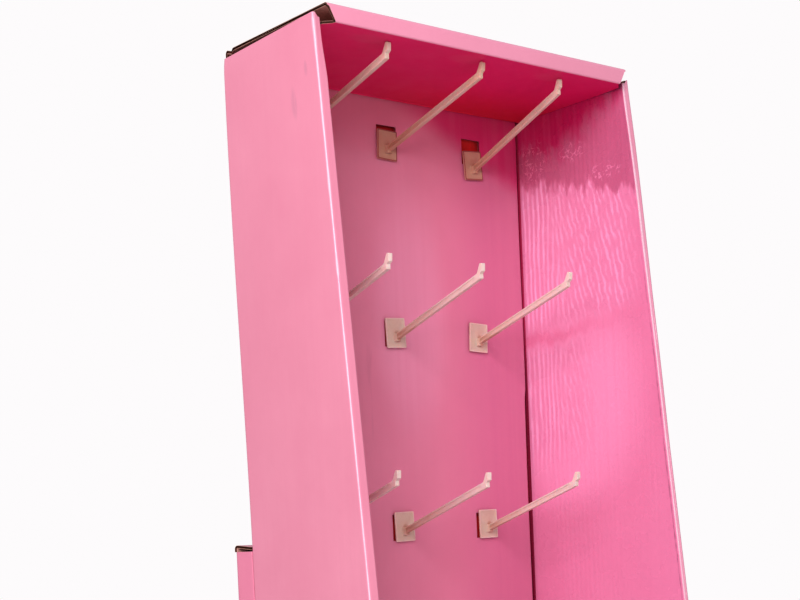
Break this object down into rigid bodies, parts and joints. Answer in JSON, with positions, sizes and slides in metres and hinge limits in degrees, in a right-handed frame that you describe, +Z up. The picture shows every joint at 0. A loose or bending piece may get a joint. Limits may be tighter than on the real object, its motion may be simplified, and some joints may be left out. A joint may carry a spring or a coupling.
{
  "type": "cardboard display stand",
  "caption": "Tall floor display stand of folded corrugated board: flared double side walls, a hollow top, a plinth and rows of long upturned plastic hooks on the back panel.",
  "frame": {"origin": "on the floor under the middle of the stand's bounding box", "axes": "+X to the right seen from the front, +Y towards the back, +Z up"},
  "size_m": [0.443, 0.3281, 1.409],
  "materials": {
    "printed_board": "satin",
    "hook_plastic": "satin"
  },
  "bodies": {
    "root": {"body_wrap": "printed_board", "hook_panel": "printed_board", "rear_brace": "printed_board", "floor_tray": "printed_board", "plinth": "printed_board", "long_divider": "printed_board", "cross_divider_left": "printed_board", "cross_divider_right": "printed_board", "hook_1_1": "hook_plastic", "hook_1_2": "hook_plastic", "hook_1_3": "hook_plastic", "hook_2_1": "hook_plastic", "hook_2_2": "hook_plastic", "hook_2_3": "hook_plastic", "hook_3_1": "hook_plastic", "hook_3_2": "hook_plastic", "hook_3_3": "hook_plastic", "hook_4_1": "hook_plastic", "hook_4_2": "hook_plastic", "hook_4_3": "hook_plastic", "hook_5_1": "hook_plastic", "hook_5_2": "hook_plastic", "hook_5_3": "hook_plastic"}
  },
  "joints": []
}
